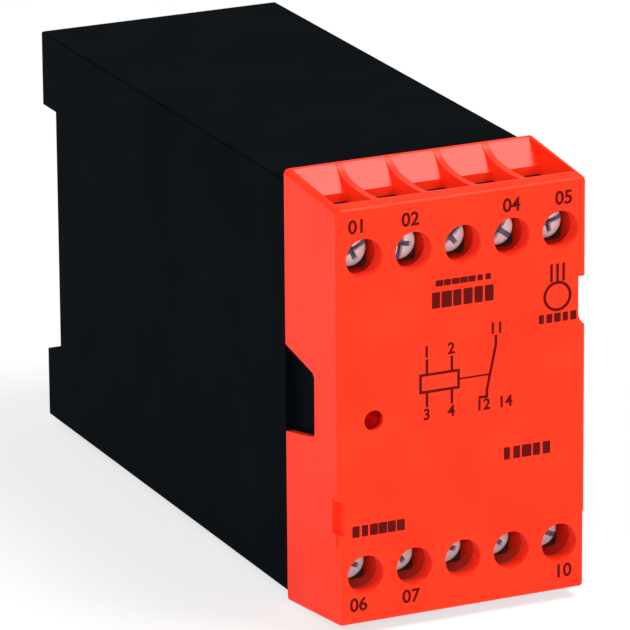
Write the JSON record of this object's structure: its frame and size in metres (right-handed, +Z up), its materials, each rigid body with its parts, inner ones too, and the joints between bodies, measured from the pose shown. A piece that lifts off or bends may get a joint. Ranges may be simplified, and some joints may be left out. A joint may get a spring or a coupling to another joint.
{
  "type": "motor protection relay",
  "caption": "Narrow rail-mounted relay: black box housing, orange front cover with screw terminals above and below, indicator lamp, rail recess and latch at the back.",
  "frame": {"origin": "centre of the bounding box's bottom", "axes": "+Z up, front face towards -Y, rail recess towards +Y, +X to the right seen from the front"},
  "size_m": [0.045, 0.121, 0.074],
  "materials": {
    "black_housing": "satin moulded",
    "orange_cover": "satin moulded",
    "terminal_insulation": "moulded",
    "bar_metal": "plain",
    "circuit_board": "lacquered",
    "tinned_pin": "tinned",
    "lamp_lens": "clear red, unlit",
    "spacer_plastic": "natural",
    "core_steel": "oiled",
    "bobbin_plastic": "natural",
    "winding_wire": "enamelled copper",
    "relay_case": "polished",
    "contact_metal": "silver faced",
    "capacitor_sleeve": "shrunk sleeve",
    "film_case": "moulded",
    "varistor_coating": "dipped",
    "chip_case": "moulded",
    "resistor_body": "lacquered",
    "spring_steel": "drawn",
    "latch_plastic": "moulded",
    "plated_steel": "zinc plated"
  },
  "bodies": {
    "base": {"housing": "black_housing", "front_cover": "orange_cover", "upper_terminal_block": "terminal_insulation", "lower_terminal_block": "terminal_insulation", "upper_terminal_bars": "bar_metal", "lower_terminal_bars": "bar_metal", "front_board": "circuit_board", "main_board": "circuit_board", "control_board": "circuit_board", "main_board_pins": "tinned_pin", "control_board_pins": "tinned_pin", "lamp": "lamp_lens", "lamp_spacer": "spacer_plastic", "transformer_core": "core_steel", "transformer_bobbin": "bobbin_plastic", "transformer_winding": "winding_wire", "transformer_pins": "tinned_pin", "relay_base": "bobbin_plastic", "relay_cover": "relay_case", "relay_yoke": "core_steel", "relay_core": "core_steel", "relay_bobbin": "bobbin_plastic", "relay_winding": "winding_wire", "relay_contacts": "contact_metal", "relay_coil_pins": "tinned_pin", "smoothing_capacitor": "capacitor_sleeve", "film_capacitor": "film_case", "varistor": "varistor_coating", "timing_capacitors": "capacitor_sleeve", "comparator_chip": "chip_case", "logic_chip": "chip_case", "resistors": "resistor_body", "diodes": "chip_case", "latch_spring": "spring_steel"},
    "latch": {"rail_latch": "latch_plastic"},
    "armature": {"relay_armature": "core_steel", "relay_contact_blade": "contact_metal"},
    "clamp_01": {"clamp_plate_01": "plated_steel"},
    "screw_01": {"terminal_screw_01": "plated_steel"},
    "clamp_02": {"clamp_plate_02": "plated_steel"},
    "screw_02": {"terminal_screw_02": "plated_steel"},
    "clamp_03": {"clamp_plate_03": "plated_steel"},
    "screw_03": {"terminal_screw_03": "plated_steel"},
    "clamp_04": {"clamp_plate_04": "plated_steel"},
    "screw_04": {"terminal_screw_04": "plated_steel"},
    "clamp_05": {"clamp_plate_05": "plated_steel"},
    "screw_05": {"terminal_screw_05": "plated_steel"},
    "clamp_06": {"clamp_plate_06": "plated_steel"},
    "screw_06": {"terminal_screw_06": "plated_steel"},
    "clamp_07": {"clamp_plate_07": "plated_steel"},
    "screw_07": {"terminal_screw_07": "plated_steel"},
    "clamp_08": {"clamp_plate_08": "plated_steel"},
    "screw_08": {"terminal_screw_08": "plated_steel"},
    "clamp_09": {"clamp_plate_09": "plated_steel"},
    "screw_09": {"terminal_screw_09": "plated_steel"},
    "clamp_10": {"clamp_plate_10": "plated_steel"},
    "screw_10": {"terminal_screw_10": "plated_steel"}
  },
  "joints": [
    {"name": "clamp_01_slide", "type": "slide", "parent": "base", "child": "clamp_01", "axis": [0, 1, 0], "range_m": [0, 0.0032]},
    {"name": "screw_01_turn", "type": "hinge", "parent": "clamp_01", "child": "screw_01", "pos_m": [-0.0175, -0.0525, 0.0637], "axis": [0, 1, 0], "range_deg": [0, 1926]},
    {"name": "clamp_02_slide", "type": "slide", "parent": "base", "child": "clamp_02", "axis": [0, 1, 0], "range_m": [0, 0.0032]},
    {"name": "screw_02_turn", "type": "hinge", "parent": "clamp_02", "child": "screw_02", "pos_m": [-0.00875, -0.0525, 0.0637], "axis": [0, 1, 0], "range_deg": [0, 1926]},
    {"name": "clamp_03_slide", "type": "slide", "parent": "base", "child": "clamp_03", "axis": [0, 1, 0], "range_m": [0, 0.0032]},
    {"name": "screw_03_turn", "type": "hinge", "parent": "clamp_03", "child": "screw_03", "pos_m": [0, -0.0525, 0.0637], "axis": [0, 1, 0], "range_deg": [0, 1926]},
    {"name": "clamp_04_slide", "type": "slide", "parent": "base", "child": "clamp_04", "axis": [0, 1, 0], "range_m": [0, 0.0032]},
    {"name": "screw_04_turn", "type": "hinge", "parent": "clamp_04", "child": "screw_04", "pos_m": [0.00875, -0.0525, 0.0637], "axis": [0, 1, 0], "range_deg": [0, 1926]},
    {"name": "clamp_05_slide", "type": "slide", "parent": "base", "child": "clamp_05", "axis": [0, 1, 0], "range_m": [0, 0.0032]},
    {"name": "screw_05_turn", "type": "hinge", "parent": "clamp_05", "child": "screw_05", "pos_m": [0.0175, -0.0525, 0.0637], "axis": [0, 1, 0], "range_deg": [0, 1926]},
    {"name": "clamp_06_slide", "type": "slide", "parent": "base", "child": "clamp_06", "axis": [0, 1, 0], "range_m": [-0.0013, 0.0019]},
    {"name": "screw_06_turn", "type": "hinge", "parent": "clamp_06", "child": "screw_06", "pos_m": [-0.0175, -0.0525, 0.0103], "axis": [0, 1, 0], "range_deg": [-786, 1146]},
    {"name": "clamp_07_slide", "type": "slide", "parent": "base", "child": "clamp_07", "axis": [0, 1, 0], "range_m": [-0.0013, 0.0019]},
    {"name": "screw_07_turn", "type": "hinge", "parent": "clamp_07", "child": "screw_07", "pos_m": [-0.00875, -0.0525, 0.0103], "axis": [0, 1, 0], "range_deg": [-786, 1146]},
    {"name": "clamp_08_slide", "type": "slide", "parent": "base", "child": "clamp_08", "axis": [0, 1, 0], "range_m": [-0.0013, 0.0019]},
    {"name": "screw_08_turn", "type": "hinge", "parent": "clamp_08", "child": "screw_08", "pos_m": [0, -0.0525, 0.0103], "axis": [0, 1, 0], "range_deg": [-786, 1146]},
    {"name": "clamp_09_slide", "type": "slide", "parent": "base", "child": "clamp_09", "axis": [0, 1, 0], "range_m": [-0.0013, 0.0019]},
    {"name": "screw_09_turn", "type": "hinge", "parent": "clamp_09", "child": "screw_09", "pos_m": [0.00875, -0.0525, 0.0103], "axis": [0, 1, 0], "range_deg": [-786, 1146]},
    {"name": "clamp_10_slide", "type": "slide", "parent": "base", "child": "clamp_10", "axis": [0, 1, 0], "range_m": [-0.0013, 0.0019]},
    {"name": "screw_10_turn", "type": "hinge", "parent": "clamp_10", "child": "screw_10", "pos_m": [0.0175, -0.0525, 0.0103], "axis": [0, 1, 0], "range_deg": [-786, 1146]},
    {"name": "latch_slide", "type": "slide", "parent": "base", "child": "latch", "axis": [0, 0, -1], "range_m": [0, 0.0035], "stiffness_N_per_m": 1200, "springref_m": -0.002, "deforming": ["latch_spring"]},
    {"name": "armature_tip", "type": "hinge", "parent": "base", "child": "armature", "pos_m": [0.0014, -0.028, 0.05135], "axis": [0, 0, 1], "range_deg": [0, 4], "stiffness_Nm_per_rad": 0.01, "springref_deg": -11.46}
  ],
  "couplings": [
    {"joint": "screw_01_turn", "follows": "clamp_01_slide", "rad_per_m": 10472},
    {"joint": "screw_02_turn", "follows": "clamp_02_slide", "rad_per_m": 10472},
    {"joint": "screw_03_turn", "follows": "clamp_03_slide", "rad_per_m": 10472},
    {"joint": "screw_04_turn", "follows": "clamp_04_slide", "rad_per_m": 10472},
    {"joint": "screw_05_turn", "follows": "clamp_05_slide", "rad_per_m": 10472},
    {"joint": "screw_06_turn", "follows": "clamp_06_slide", "rad_per_m": 10472},
    {"joint": "screw_07_turn", "follows": "clamp_07_slide", "rad_per_m": 10472},
    {"joint": "screw_08_turn", "follows": "clamp_08_slide", "rad_per_m": 10472},
    {"joint": "screw_09_turn", "follows": "clamp_09_slide", "rad_per_m": 10472},
    {"joint": "screw_10_turn", "follows": "clamp_10_slide", "rad_per_m": 10472}
  ]
}
